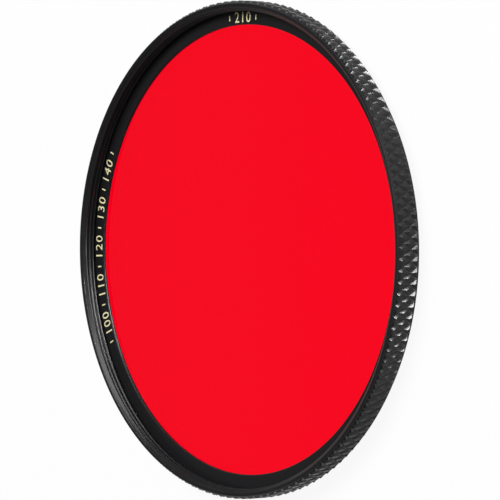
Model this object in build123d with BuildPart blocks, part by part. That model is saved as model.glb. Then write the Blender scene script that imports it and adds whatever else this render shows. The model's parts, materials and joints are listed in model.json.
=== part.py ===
from build123d import *
from math import radians, tan
import os

# A round colour filter that screws onto the front of a camera lens. It lies on its rear end, with its
# front up: Z is the optical axis, and the origin is the centre of the rear end. Sizes in millimetres.

# Lens thread, the same in the front bore and on the rear spigot, both drawn as plain cylinders
thread_diameter = 77.0
thread_pitch = 0.75
thread_form = 0.5413  # radial depth of the thread for each millimetre of pitch
thread_lead = 0.1  # the mouth of the front bore opens this much wider than the thread
spigot_chamfer = 0.4  # at the end of the rear thread

# Heights along the axis, from the rear end to the front face
rear_recess = 0.22  # the retaining ring sits this far inside the rear end
retainer_thickness = 0.85
retainer_thread_runout = 0.15  # the bore runs on past the glass, so that the ring bears on it
glass_thickness = 1.6
flange_thickness = 0.43  # the inner flange that the glass bears against
bore_depth = 2.5  # from the front face down to the flange
relief_width = 0.3  # undercut at the bottom of the front thread
spigot_length = 1.2  # the rear thread that enters the lens

# Radial sizes, counted outwards and inwards from the lens thread
rim_wall = 0.8  # from the thread out to the plain rims
spigot_wall = 1.0  # from the thread in to the retaining ring's thread
retainer_clearance = 0.05
pocket_step = 0.6  # from the retaining ring's thread in to the glass pocket
glass_clearance = 0.1
glass_seat = 0.9  # the flange overlaps the glass by this much
rim_chamfer = 0.12
flange_chamfer = 0.15
glass_bevel = 0.25

# Diamond knurl between the two plain rims
front_rim_width = 0.25
rear_rim_width = 0.24
knurl_rise = 0.37  # how far the knurl stands out from the rims
knurl_depth = 0.33
knurl_count = 140  # grooves of each hand
knurl_angle = 30.5  # lean of a groove from the axis
knurl_groove_angle = 100.0
knurl_first_row = 1.04  # from the knurl's front edge to its first row of diamonds
knurl_start_angle = 1.0  # where the first groove of each hand crosses that row

# Two notches in the retaining ring for a spanner
notch_count = 2
notch_width = 1.8
notch_depth = 0.4

# Radii
thread_radius = thread_diameter / 2
bore_radius = thread_radius - thread_form * thread_pitch
mouth_radius = thread_radius + thread_lead
retainer_bore_radius = thread_radius - spigot_wall
retainer_radius = retainer_bore_radius - retainer_clearance
pocket_radius = retainer_bore_radius - pocket_step
glass_radius = pocket_radius - glass_clearance
aperture_radius = glass_radius - glass_seat
rim_radius = thread_radius + rim_wall
knurl_radius = rim_radius + knurl_rise
knurl_root_radius = knurl_radius - knurl_depth
flat_count = 2 * knurl_count

# Heights
retainer_z = rear_recess
glass_z = retainer_z + retainer_thickness
runout_z = glass_z + retainer_thread_runout
flange_z = glass_z + glass_thickness
floor_z = flange_z + flange_thickness
front_z = floor_z + bore_depth
knurl_start_z = spigot_length + rear_rim_width
knurl_end_z = front_z - front_rim_width
knurl_width = knurl_end_z - knurl_start_z


def ring_edges(part, radius, height):
    """The circular edges of a part that lie at one radius and height."""
    return part.edges().filter_by(GeomType.CIRCLE).filter_by(
        lambda edge: abs(edge.radius - radius) < 0.001 and abs(edge.center().Z - height) < 0.001
    )


def knurl_groove(lean):
    """A straight V groove that leans across the knurl and runs out over both rims."""
    crossing = Vector(knurl_root_radius, 0, knurl_end_z - knurl_first_row)
    along = Vector(0, 0, 1).rotate(Axis.X, lean)
    mouth = 2 * knurl_depth
    half_width = mouth * tan(radians(knurl_groove_angle / 2))
    with BuildPart() as groove:
        with BuildSketch(Plane(origin=crossing, x_dir=(1, 0, 0), z_dir=along)):
            Polygon((0, 0), (mouth, half_width), (mouth, -half_width), align=None)
        extrude(amount=2 * knurl_width, both=True)
    return groove.part


with BuildPart() as filter_ring:
    with BuildSketch(Plane.XZ):
        with BuildLine():
            Polyline(
                (0, 0),
                (thread_radius, 0),
                (thread_radius, spigot_length),
                (rim_radius, spigot_length),
                (rim_radius, front_z),
                (0, front_z),
                close=True,
            )
        make_face()
    revolve(axis=Axis.Z)
    # The crown has one flat for each diamond of the knurl
    with BuildSketch(Plane.XY.offset(knurl_start_z)):
        RegularPolygon(knurl_radius, flat_count, major_radius=False, rotation=knurl_start_angle + 180 / flat_count)
    extrude(amount=knurl_width)
    with BuildSketch(Plane.XZ):
        with BuildLine():
            Polyline(
                (0, 0),
                (retainer_bore_radius, 0),
                (retainer_bore_radius, runout_z),
                (pocket_radius, runout_z),
                (pocket_radius, flange_z),
                (aperture_radius, flange_z),
                (aperture_radius, floor_z),
                (mouth_radius, floor_z),
                (mouth_radius, floor_z + relief_width),
                (bore_radius, floor_z + relief_width),
                (bore_radius, front_z),
                (0, front_z),
                close=True,
            )
        make_face()
    revolve(axis=Axis.Z, mode=Mode.SUBTRACT)
    chamfer(ring_edges(filter_ring, thread_radius, 0), spigot_chamfer)
    chamfer(ring_edges(filter_ring, rim_radius, spigot_length), rim_chamfer)
    chamfer(ring_edges(filter_ring, rim_radius, front_z), rim_chamfer)
    chamfer(ring_edges(filter_ring, bore_radius, front_z), mouth_radius - bore_radius)
    chamfer(ring_edges(filter_ring, aperture_radius, floor_z), flange_chamfer)
    for lean in (-knurl_angle, knurl_angle):
        with PolarLocations(0, knurl_count, start_angle=knurl_start_angle):
            add(knurl_groove(lean), mode=Mode.SUBTRACT)
filter_ring.part.label = "filter_ring"

with BuildPart() as glass_disc:
    with Locations((0, 0, glass_z)):
        Cylinder(glass_radius, glass_thickness, align=(Align.CENTER, Align.CENTER, Align.MIN))
    chamfer(glass_disc.edges().filter_by(GeomType.CIRCLE), glass_bevel)
glass_disc.part.label = "glass_disc"

with BuildPart() as retaining_ring:
    with BuildSketch(Plane.XY.offset(retainer_z)):
        Circle(retainer_radius)
        Circle(aperture_radius, mode=Mode.SUBTRACT)
    extrude(amount=retainer_thickness)
    with BuildSketch(Plane.XY.offset(retainer_z)):
        with PolarLocations((aperture_radius + retainer_radius) / 2, notch_count):
            Rectangle(2 * (retainer_radius - aperture_radius), notch_width)
    extrude(amount=notch_depth, mode=Mode.SUBTRACT)
retaining_ring.part.label = "retaining_ring"

os.makedirs("parts", exist_ok=True)
for piece in (filter_ring, glass_disc, retaining_ring):
    export_step(piece.part, f"parts/{piece.part.label}.step")
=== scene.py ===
import json
from math import atan2, ceil, cos, floor, pi, radians, sin, tan, tau

import bmesh
import bpy
from mathutils import Matrix, Vector


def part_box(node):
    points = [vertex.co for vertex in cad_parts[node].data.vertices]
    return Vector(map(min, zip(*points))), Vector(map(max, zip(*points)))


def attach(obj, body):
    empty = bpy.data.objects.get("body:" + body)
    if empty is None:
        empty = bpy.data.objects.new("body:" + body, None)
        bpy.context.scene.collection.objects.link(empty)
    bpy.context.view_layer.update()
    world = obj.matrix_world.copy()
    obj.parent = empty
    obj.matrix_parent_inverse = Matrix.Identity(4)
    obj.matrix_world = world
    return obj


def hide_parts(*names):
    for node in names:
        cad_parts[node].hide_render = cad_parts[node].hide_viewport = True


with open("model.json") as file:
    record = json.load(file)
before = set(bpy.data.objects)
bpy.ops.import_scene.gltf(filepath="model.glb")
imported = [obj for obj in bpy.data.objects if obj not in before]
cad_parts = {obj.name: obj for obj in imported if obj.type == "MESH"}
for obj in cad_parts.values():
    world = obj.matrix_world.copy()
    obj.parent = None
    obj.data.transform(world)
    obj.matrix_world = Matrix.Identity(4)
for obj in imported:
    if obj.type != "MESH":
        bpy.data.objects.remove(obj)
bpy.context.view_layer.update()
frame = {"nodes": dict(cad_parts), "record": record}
scene = bpy.context.scene
scene.view_settings.view_transform = "Standard"

# A screw-in colour filter for a camera lens, lying on its rear thread with its front up. Meshes are
# drawn in millimetres, with heights counted from the rear end, and scaled to metres at the end.
MM = 0.001

mounts = {mount["name"]: mount["dims"] for mount in frame["record"]["mounts"]}
bore_radius = mounts["front_thread"]["r_mm"]  # crests of the front thread
thread_radius = mounts["rear_thread"]["r_mm"]  # crests of the rear thread, roots of the front one


def node_heights(node):
    """The lowest and highest point of a node."""
    low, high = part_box(node)
    return low.z / MM, high.z / MM


def node_radius(node):
    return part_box(node)[1].x / MM


front_z = node_heights("filter_ring")[1]
glass_rear_z, glass_front_z = node_heights("glass_disc")
glass_radius = node_radius("glass_disc")
retainer_radius = node_radius("retaining_ring")

# The frame's section
thread_pitch = 0.75
thread_lead = 0.1
spigot_length = 1.2
spigot_chamfer = 0.4
flange_thickness = 0.43
relief_width = 0.3
rim_wall = 0.8
rim_chamfer = 0.12
flange_chamfer = 0.15
glass_seat = 0.9
glass_clearance = 0.1
glass_bevel = 0.25
retainer_clearance = 0.05
retainer_thread_runout = 0.15
edge_break = 0.03  # the smallest rounding, on edges that look sharp
thread_flank = 5 / 16  # each flank's share of the pitch
front_crest_flat = 1 / 4
rear_crest_flat = 1 / 8
thread_rounding = 0.08  # of the pitch, at the corners of the crests and roots
crest_depth = 0.89  # from the front face down to a crest of the front thread, on the +X side
thread_fade = 0.25  # the rear thread runs out this far from the shoulder

crest_height = front_z - crest_depth
aperture_radius = glass_radius - glass_seat
pocket_radius = glass_radius + glass_clearance
retainer_bore_radius = retainer_radius + retainer_clearance
mouth_radius = thread_radius + thread_lead
rim_radius = thread_radius + rim_wall
floor_z = glass_front_z + flange_thickness
bore_end_z = floor_z + relief_width
runout_z = glass_rear_z + retainer_thread_runout

# Diamond knurl
front_rim_width = 0.25
rear_rim_width = 0.24
knurl_rise = 0.37
knurl_depth = 0.33
knurl_count = 140
knurl_angle = radians(30.5)
knurl_groove_half_angle = radians(50)
knurl_first_row = 1.04
knurl_start_angle = radians(1)
knurl_root_rounding = 0.03
knurl_pad_rounding = 0.02

knurl_root_radius = rim_radius + knurl_rise - knurl_depth
knurl_start_z = spigot_length + rear_rim_width
knurl_end_z = front_z - front_rim_width

# The mouth of the front bore, from the front face down to the first turn of the thread
lip_radius = 38.98
lip_depth = 0.1
mouth_depth = 0.19
mouth_slope = radians(30)  # of the cone below the mouth, from the plane of the front face

# Figures of a plain dial on the flange: each stands for its angle, and they are read clockwise
figure_foot_radius = 36.28
figure_height = 1.69
figure_type_size = figure_height / 0.69  # the built-in type's digits are this share of its size high
figure_spacing = 1.15
figure_thickness = 0.016
tick_length = 0.9
tick_width = 0.2
dial_start = 299
dial_angles = (199, 189, 179, 169, 159, 89)
tick_distance = 5
tick_angles = sorted({angle + side * tick_distance for angle in dial_angles for side in (-1, 1)})

columns = 3 * knurl_count  # vertices round a plain circle
sharp_angle = radians(35)  # an edge that bends more than this stays sharp

# Materials: detail for each metre of surface, the height of its relief in metres, and colours
turning_marks = 9000
metal_grain = 14000
metal_relief = 0.000002
metal_specular = 0.2
ink_grain = 6000
ring_black = (0.009, 0.009, 0.01)
ring_roughness = (0.26, 0.34)
retainer_black = (0.02, 0.02, 0.022)
retainer_roughness = (0.5, 0.6)
ink_dark = (0.72, 0.65, 0.34, 1)
ink_light = (0.86, 0.80, 0.50, 1)
ink_roughness = (0.4, 0.6)
glass_red = (1, 0, 0.013, 1)


def on_cylinder(radius, angle, height):
    return Vector((radius * cos(angle), radius * sin(angle), height))


def vertex_angle(vertex):
    return atan2(vertex.co.y, vertex.co.x) % tau


def circle(mesh, radius, height, angles=None):
    """A closed row of vertices round the axis."""
    if angles is None:
        angles = [tau * column / columns for column in range(columns)]
    return [mesh.verts.new(on_cylinder(radius, angle, height)) for angle in angles]


def strip(mesh, first, second):
    """Faces between two closed rows with as many vertices."""
    for i in range(len(first)):
        mesh.faces.new((first[i - 1], first[i], second[i], second[i - 1]))


def zip_rows(mesh, first, second):
    """Triangles between two closed rows that have different numbers of vertices."""
    def angle_at(row, index):
        turns, place = divmod(index, len(row))
        return vertex_angle(row[place]) + tau * turns

    i = 0
    j = 0
    while i < len(first) or j < len(second):
        step_first = angle_at(first, i + 1) <= angle_at(second, j + 1)
        corners = [first[i % len(first)], second[j % len(second)]]
        if step_first:
            i += 1
            corners.append(first[i % len(first)])
        else:
            j += 1
            corners.append(second[j % len(second)])
        mesh.faces.new(corners)


def rounded(corners):
    """A profile's points. Each corner is a radius, a height and the size of its edge break."""
    points = []
    for index, (radius, height, size) in enumerate(corners):
        corner = Vector((radius, height))
        if size == 0:
            points.append(corner)
            continue
        before = Vector(corners[index - 1][:2]) - corner
        after = Vector(corners[index + 1][:2]) - corner
        start = corner + size * before.normalized()
        end = corner + size * after.normalized()
        points += [start, (start + 2 * corner + end) / 4, end]
    return points


def turned(mesh, row, corners):
    """Carries a closed row on through a turned profile, and returns the last row."""
    for radius, height in rounded(corners):
        following = circle(mesh, radius, height)
        strip(mesh, row, following)
        row = following
    return row


def finished(mesh, name, material):
    """Makes the piece, in metres, and seats it in the frame."""
    bmesh.ops.recalc_face_normals(mesh, faces=mesh.faces[:])
    mesh.transform(Matrix.Scale(MM, 4))
    data = bpy.data.meshes.new(name)
    mesh.to_mesh(data)
    mesh.free()
    data.polygons.foreach_set("use_smooth", [True] * len(data.polygons))
    data.set_sharp_from_angle(angle=sharp_angle)
    data.materials.append(material)
    piece = bpy.data.objects.new(name, data)
    scene.collection.objects.link(piece)
    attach(piece, "root")
    return piece


def knurl_band(mesh):
    """The knurl: drawn flat, cut off at 45 degrees at both ends and rolled up.

    Returns its rear and its front edge.
    """
    pitch = tau * knurl_root_radius / knurl_count
    row_height = pitch / (2 * tan(knurl_angle))
    half_cell = pitch / 2 * cos(knurl_angle)
    slope = 1 / tan(knurl_groove_half_angle)
    pad_edge = knurl_depth / slope
    # Each contour of a diamond is a distance from the groove's middle and a height over its root
    contours = (
        (0, knurl_root_rounding * slope / 2),
        (knurl_root_rounding, knurl_root_rounding * slope),
        (pad_edge - knurl_pad_rounding, knurl_depth - knurl_pad_rounding * slope),
        (pad_edge, knurl_depth - knurl_pad_rounding * slope / 4),
        (pad_edge + knurl_pad_rounding, knurl_depth),
    )
    first_row_z = knurl_end_z - knurl_first_row
    for row in range(-1, 3):
        for column in range(knurl_count):
            centre_x = pitch * (column + (row + 1) % 2 / 2)
            centre_y = first_row_z - row * row_height
            outer = None
            for across, height in contours:
                share = 1 - across / half_cell
                half_x = share * pitch / 2
                half_y = share * row_height
                ring = [
                    mesh.verts.new((centre_x - half_x, centre_y, height)),
                    mesh.verts.new((centre_x, centre_y - half_y, height)),
                    mesh.verts.new((centre_x + half_x, centre_y, height)),
                    mesh.verts.new((centre_x, centre_y + half_y, height)),
                ]
                if outer:
                    strip(mesh, outer, ring)
                outer = ring
            mesh.faces.new(outer)
    for end, outward in ((knurl_start_z, -1), (knurl_end_z, 1)):
        everything = mesh.verts[:] + mesh.edges[:] + mesh.faces[:]
        foot = (0, end, rim_radius - knurl_root_radius)
        facing = (0, outward, 1)
        bmesh.ops.bisect_plane(mesh, geom=everything, plane_co=foot, plane_no=facing, clear_outer=True)
    for vertex in mesh.verts:
        around, height, out = vertex.co
        angle = knurl_start_angle + around / knurl_root_radius
        vertex.co = on_cylinder(knurl_root_radius + out, angle, height)
    bmesh.ops.remove_doubles(mesh, verts=mesh.verts[:], dist=0.0001)
    middle_z = (knurl_start_z + knurl_end_z) / 2
    boundary = sorted([vertex for vertex in mesh.verts if vertex.is_boundary], key=vertex_angle)
    rear_edge = [vertex for vertex in boundary if vertex.co.z < middle_z]
    front_edge = [vertex for vertex in boundary if vertex.co.z > middle_z]
    return rear_edge, front_edge


def knurl_end_slope(mesh, edge, end, outward):
    """Carries the slope at an end of the knurl on from its wavy edge to its plain rim, which it returns."""
    angles = [vertex_angle(vertex) for vertex in edge]
    foot = circle(mesh, rim_radius + edge_break, end - outward * edge_break, angles)
    strip(mesh, edge, foot)
    rim = circle(mesh, rim_radius, end)
    zip_rows(mesh, foot, rim)
    return rim


def thread_corners(crest_flat):
    """The ends of a flank, as shares of the pitch from the middle of a crest."""
    return crest_flat / 2, crest_flat / 2 + thread_flank


def rounded_ramp(place, start):
    """Nought up to a start and rising evenly from there, with the corner rounded."""
    into = place - start + thread_rounding / 2
    if into < 0:
        return 0
    return min(into, thread_rounding) ** 2 / (2 * thread_rounding) + max(into - thread_rounding, 0)


def groove_share(turn, crest_flat):
    """How deep a thread is cut, from 0 on its crests, at whole turns, to 1 at its roots."""
    crest_end, root_start = thread_corners(crest_flat)
    from_crest = abs(turn - round(turn))
    return (rounded_ramp(from_crest, crest_end) - rounded_ramp(from_crest, root_start)) / thread_flank


def threaded_wall(mesh, low, high, crest_flat, radius_at):
    """A wall whose rows follow a right-handed helix. Returns its low and high edges as closed rows."""
    rows = []
    for corner in thread_corners(crest_flat):
        for shift in (-thread_rounding / 2, 0, thread_rounding / 2):
            rows += [corner + shift, 1 - corner - shift]
    rows.sort()
    made = {}

    def vertex(column, row):
        turns, place = divmod(row, len(rows))
        helix = crest_height + thread_pitch * (column / columns + turns + rows[place])
        height = min(max(helix, low), high)
        column %= columns
        if (column, height) not in made:
            turn = (height - crest_height) / thread_pitch - column / columns
            radius = radius_at(turn, height)
            made[column, height] = mesh.verts.new(on_cylinder(radius, tau * column / columns, height))
        return made[column, height]

    first = floor((low - crest_height) / thread_pitch - 1) * len(rows) - 1
    last = ceil((high - crest_height) / thread_pitch) * len(rows) + 1
    for column in range(columns):
        for row in range(first, last):
            corners = [
                vertex(column, row),
                vertex(column + 1, row),
                vertex(column + 1, row + 1),
                vertex(column, row + 1),
            ]
            corners = list(dict.fromkeys(corners))
            if len(corners) > 2:
                mesh.faces.new(corners)
    edges = []
    for end in (low, high):
        edges.append([made[column, end] for column in range(columns)])
    return edges


def front_thread_radius(turn, height):
    """The front bore: its thread, opened by the cone at its mouth."""
    thread = bore_radius + (thread_radius - bore_radius) * groove_share(turn, front_crest_flat)
    below_mouth = max(front_z - mouth_depth - height, 0)
    return max(thread, mouth_radius - below_mouth / tan(mouth_slope))


def rear_thread_radius(turn, height):
    """The rear spigot: its thread, with a chamfer at the end and a run-out at the shoulder."""
    fade = min((spigot_length - height) / thread_fade, 1)
    thread = thread_radius - (thread_radius - bore_radius) * groove_share(turn, rear_crest_flat) * fade
    return min(thread, thread_radius - spigot_chamfer + height)


def make_filter_ring(material):
    mesh = bmesh.new()
    rear_edge, front_edge = knurl_band(mesh)
    row = knurl_end_slope(mesh, front_edge, knurl_end_z, 1)
    row = turned(mesh, row, (
        (rim_radius, front_z - rim_chamfer, 0),
        (rim_radius - rim_chamfer, front_z, 0),
        (lip_radius, front_z, edge_break),
        (mouth_radius + edge_break, front_z - lip_depth, 0),
    ))
    lip_z = front_z - lip_depth - edge_break
    thread_low, thread_high = threaded_wall(mesh, bore_end_z, lip_z, front_crest_flat, front_thread_radius)
    strip(mesh, row, thread_high)
    row = turned(mesh, thread_low, (
        (mouth_radius, bore_end_z, 0),
        (mouth_radius, floor_z, 0),
        (aperture_radius + flange_chamfer, floor_z, edge_break),
        (aperture_radius, floor_z - flange_chamfer, edge_break),
        (aperture_radius, glass_front_z, 0),
        (pocket_radius, glass_front_z, 0),
        (pocket_radius, runout_z, edge_break),
        (retainer_bore_radius, runout_z, 0),
        (retainer_bore_radius, 0, edge_break),
        (thread_radius - spigot_chamfer - 2 * edge_break, 0, 0),
    ))
    thread_low, thread_high = threaded_wall(mesh, 0, spigot_length, rear_crest_flat, rear_thread_radius)
    strip(mesh, row, thread_low)
    row = turned(mesh, thread_high, (
        (rim_radius - rim_chamfer, spigot_length, 0),
        (rim_radius, spigot_length + rim_chamfer, 0),
    ))
    rim = knurl_end_slope(mesh, rear_edge, knurl_start_z, -1)
    strip(mesh, row, rim)
    piece = finished(mesh, "knurled_ring", material)
    piece.visible_transmission = False
    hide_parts("filter_ring")


def make_glass(material):
    mesh = bmesh.new()
    row = circle(mesh, glass_radius - glass_bevel, glass_rear_z)
    mesh.faces.new(row)
    row = turned(mesh, row, (
        (glass_radius, glass_rear_z + glass_bevel, 0),
        (glass_radius, glass_front_z - glass_bevel, 0),
        (glass_radius - glass_bevel, glass_front_z, 0),
    ))
    mesh.faces.new(row)
    piece = finished(mesh, "red_glass", material)
    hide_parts("glass_disc")


def figure_outline(words):
    """A line of type as a flat mesh with a little thickness, in the script's millimetres."""
    curve = bpy.data.curves.new("figures", "FONT")
    curve.body = words
    curve.align_x = "CENTER"
    curve.size = figure_type_size
    curve.space_character = figure_spacing
    curve.extrude = figure_thickness / 2
    curve.resolution_u = 3
    holder = bpy.data.objects.new("figures", curve)
    outline = bpy.data.meshes.new_from_object(holder)
    bpy.data.objects.remove(holder)
    bpy.data.curves.remove(curve)
    return outline


def make_figures(material):
    """Plain dial figures printed on the flange, feet towards the middle, with ticks between them."""
    mesh = bmesh.new()
    for angle in dial_angles:
        outline = figure_outline(str(dial_start - angle))
        known = len(mesh.verts)
        mesh.from_mesh(outline)
        bpy.data.meshes.remove(outline)
        mesh.verts.ensure_lookup_table()
        for vertex in mesh.verts[known:]:
            across, out, height = vertex.co
            turned_by = radians(angle) - across / (figure_foot_radius + figure_height / 2)
            vertex.co = on_cylinder(figure_foot_radius + out, turned_by, floor_z + height)
    for angle in tick_angles:
        place = Matrix.Rotation(radians(angle), 4, "Z")
        place @= Matrix.Translation((figure_foot_radius + figure_height / 2, 0, floor_z))
        size = Matrix.Diagonal((tick_length, tick_width, figure_thickness, 1))
        bmesh.ops.create_cube(mesh, size=1, matrix=place @ size)
    bmesh.ops.remove_doubles(mesh, verts=mesh.verts[:], dist=0.0001)
    finished(mesh, "dial_figures", material)


class Nodes:
    """Adds and links the nodes of one material."""

    def __init__(self, name):
        self.material = bpy.data.materials.new(name)
        self.material.use_nodes = True
        self.tree = self.material.node_tree
        self.shader = self.tree.nodes["Principled BSDF"]

    def add(self, kind, **settings):
        node = self.tree.nodes.new(kind)
        for name, value in settings.items():
            setattr(node, name, value)
        return node

    def link(self, source, target):
        self.tree.links.new(source, target)

    def math(self, operation, first, second):
        node = self.add("ShaderNodeMath", operation=operation)
        for socket, value in zip(node.inputs, (first, second)):
            if isinstance(value, (int, float)):
                socket.default_value = value
            else:
                self.link(value, socket)
        return node.outputs[0]

    def noise(self, vector, scale, detail=2):
        node = self.add("ShaderNodeTexNoise")
        node.inputs["Scale"].default_value = scale
        node.inputs["Detail"].default_value = detail
        self.link(vector, node.inputs["Vector"])
        return node.outputs["Fac"]

    def spread(self, value, low, high):
        """Takes a value from 0 to 1 to the range from low to high."""
        node = self.add("ShaderNodeMapRange")
        node.inputs["To Min"].default_value = low
        node.inputs["To Max"].default_value = high
        self.link(value, node.inputs["Value"])
        return node.outputs["Result"]

    def bump(self, height, distance):
        node = self.add("ShaderNodeBump")
        node.inputs["Strength"].default_value = 1
        node.inputs["Distance"].default_value = distance
        self.link(height, node.inputs["Height"])
        return node


def anodised_metal(name, colour, roughness):
    """Black anodised aluminium with the fine rings that turning leaves."""
    nodes = Nodes(name)
    place = nodes.add("ShaderNodeTexCoord").outputs["Object"]
    split = nodes.add("ShaderNodeSeparateXYZ")
    nodes.link(place, split.inputs[0])
    across = nodes.math("MULTIPLY", split.outputs["X"], split.outputs["X"])
    along = nodes.math("MULTIPLY", split.outputs["Y"], split.outputs["Y"])
    radius = nodes.math("SQRT", nodes.math("ADD", across, along), 0)
    rings = nodes.add("ShaderNodeCombineXYZ")
    nodes.link(radius, rings.inputs["X"])
    nodes.link(split.outputs["Z"], rings.inputs["Y"])
    marks = nodes.noise(rings.outputs[0], turning_marks)
    grain = nodes.noise(place, metal_grain)
    relief = nodes.math("ADD", marks, grain)
    nodes.link(nodes.spread(grain, *roughness), nodes.shader.inputs["Roughness"])
    nodes.link(nodes.bump(relief, metal_relief).outputs[0], nodes.shader.inputs["Normal"])
    nodes.shader.inputs["Base Color"].default_value = (*colour, 1)
    nodes.shader.inputs["Specular IOR Level"].default_value = metal_specular
    return nodes.material


def printed_ink():
    """Pale gold ink, a little uneven."""
    nodes = Nodes("gold_ink")
    place = nodes.add("ShaderNodeTexCoord").outputs["Object"]
    grain = nodes.noise(place, ink_grain)
    colours = nodes.add("ShaderNodeMix", data_type="RGBA")
    nodes.link(grain, colours.inputs["Factor"])
    colours.inputs["A"].default_value = ink_dark
    colours.inputs["B"].default_value = ink_light
    nodes.link(colours.outputs["Result"], nodes.shader.inputs["Base Color"])
    nodes.link(nodes.spread(grain, *ink_roughness), nodes.shader.inputs["Roughness"])
    return nodes.material


def coloured_glass():
    """Polished glass, dyed through."""
    nodes = Nodes("red_glass")
    nodes.shader.inputs["Base Color"].default_value = glass_red
    nodes.shader.inputs["Transmission Weight"].default_value = 1
    nodes.shader.inputs["Roughness"].default_value = 0
    nodes.shader.inputs["IOR"].default_value = 1.52
    nodes.shader.inputs["Specular Tint"].default_value = (0.05, 0.05, 0.05, 1)
    return nodes.material


ring_metal = anodised_metal("black_anodised", ring_black, ring_roughness)
make_filter_ring(ring_metal)
make_glass(coloured_glass())
make_figures(printed_ink())
retainer = frame["nodes"]["retaining_ring"]
retainer.visible_transmission = False
retainer.data.materials.clear()
retainer.data.materials.append(anodised_metal("black_matt", retainer_black, retainer_roughness))

# The photograph's camera, for a picture 500 pixels wide: its tilt from the axis, its distance from the
# front face, its roll, its focal length and where its axis meets the picture
picture_width = 500
view_tilt = radians(50.04)
view_distance = 589.5 * MM
view_roll = radians(-0.53)
focal_pixels = 3703.7
axis_x = 230.26
axis_y = 249.82

camera_data = bpy.data.cameras.new("camera")
camera_data.sensor_width = 36
camera_data.lens = focal_pixels / picture_width * camera_data.sensor_width
camera_data.shift_x = (picture_width / 2 - axis_x) / picture_width
camera_data.shift_y = (axis_y - picture_width / 2) / picture_width
camera_data.clip_start = 0.01
camera_data.clip_end = 100
camera = bpy.data.objects.new("camera", camera_data)
back = Vector((sin(view_tilt), 0, cos(view_tilt)))
level = Vector((cos(view_tilt), 0, -sin(view_tilt)))
upright = Vector((0, 1, 0))
right = cos(view_roll) * level + sin(view_roll) * upright
up = cos(view_roll) * upright - sin(view_roll) * level
turn = Matrix((right, up, back)).transposed()
eye = Vector((0, 0, front_z * MM)) + view_distance * back
camera.matrix_world = Matrix.Translation(eye) @ turn.to_4x4()
scene.collection.objects.link(camera)
scene.camera = camera

# The studio: a dome that is white at the horizon and dimmer from a low height up, over a white floor
dome_dim_height = radians(20)
dome_dim_strength = 0.2
floor_reach = 5  # metres, each way
floor_grey = 0.8
floor_sheen_roughness = 0.15
camera_white = 0.92  # how much of the floor's white is plain, with the rest left to light and shadow


def studio_world():
    world = bpy.data.worlds.new("studio")
    world.use_nodes = True
    tree = world.node_tree
    direction = tree.nodes.new("ShaderNodeTexCoord")
    split = tree.nodes.new("ShaderNodeSeparateXYZ")
    fall = tree.nodes.new("ShaderNodeMapRange")
    fall.interpolation_type = "SMOOTHSTEP"
    fall.inputs["From Max"].default_value = sin(dome_dim_height)
    fall.inputs["To Min"].default_value = 1
    fall.inputs["To Max"].default_value = dome_dim_strength
    tree.links.new(direction.outputs["Generated"], split.inputs[0])
    tree.links.new(split.outputs["Z"], fall.inputs["Value"])
    tree.links.new(fall.outputs["Result"], tree.nodes["Background"].inputs["Strength"])
    tree.nodes["Background"].inputs["Color"].default_value = (1, 1, 1, 1)
    return world


def floor_material():
    """White to the camera, the metal and the glass, with a little shadow and a sheen of the lamps."""
    nodes = Nodes("floor")
    path = nodes.add("ShaderNodeLightPath")
    white = nodes.add("ShaderNodeEmission")
    seen = nodes.math("MAXIMUM", path.outputs["Is Glossy Ray"], path.outputs["Is Transmission Ray"])
    partly_seen = nodes.math("MULTIPLY", path.outputs["Is Camera Ray"], camera_white)
    share = nodes.math("MAXIMUM", seen, partly_seen)
    mix = nodes.add("ShaderNodeMixShader")
    nodes.link(share, mix.inputs[0])
    nodes.link(nodes.shader.outputs[0], mix.inputs[1])
    nodes.link(white.outputs[0], mix.inputs[2])
    sheen = nodes.add("ShaderNodeBsdfGlossy")
    sheen.inputs["Roughness"].default_value = floor_sheen_roughness
    fresnel = nodes.add("ShaderNodeFresnel")
    sheen_share = nodes.math("MULTIPLY", fresnel.outputs[0], path.outputs["Is Glossy Ray"])
    polished = nodes.add("ShaderNodeMixShader")
    nodes.link(sheen_share, polished.inputs[0])
    nodes.link(mix.outputs[0], polished.inputs[1])
    nodes.link(sheen.outputs[0], polished.inputs[2])
    nodes.link(polished.outputs[0], nodes.tree.nodes["Material Output"].inputs["Surface"])
    nodes.shader.inputs["Base Color"].default_value = (floor_grey, floor_grey, floor_grey, 1)
    nodes.shader.inputs["Roughness"].default_value = 1
    return nodes.material


def make_floor():
    corners = [(-floor_reach, -floor_reach, 0), (floor_reach, -floor_reach, 0)]
    corners += [(floor_reach, floor_reach, 0), (-floor_reach, floor_reach, 0)]
    data = bpy.data.meshes.new("floor")
    data.from_pydata(corners, [], [(0, 1, 2, 3)])
    data.materials.append(floor_material())
    piece = bpy.data.objects.new("floor", data)
    scene.collection.objects.link(piece)


def softbox(name, azimuth, height, distance, size, brightness):
    """A rectangular lamp that faces the object, and is so many times as bright as white."""
    data = bpy.data.lights.new(name, "AREA")
    data.shape = "RECTANGLE"
    data.size, data.size_y = size
    data.energy = brightness * pi * size[0] * size[1]
    lamp = bpy.data.objects.new(name, data)
    place = Vector((cos(height) * cos(azimuth), cos(height) * sin(azimuth), sin(height)))
    lamp.location = distance * place
    lamp.rotation_euler = place.to_track_quat("Z", "Y").to_euler()
    lamp.visible_camera = False
    scene.collection.objects.link(lamp)
    return lamp


scene.world = studio_world()
make_floor()
# The low lamp is there for the shine of the knurl's flanks alone
key = softbox("key", radians(29), radians(7), 1, (0.6, 0.22), 200)
key.visible_diffuse = False
softbox("top", radians(80), radians(62), 1, (0.7, 0.4), 12)
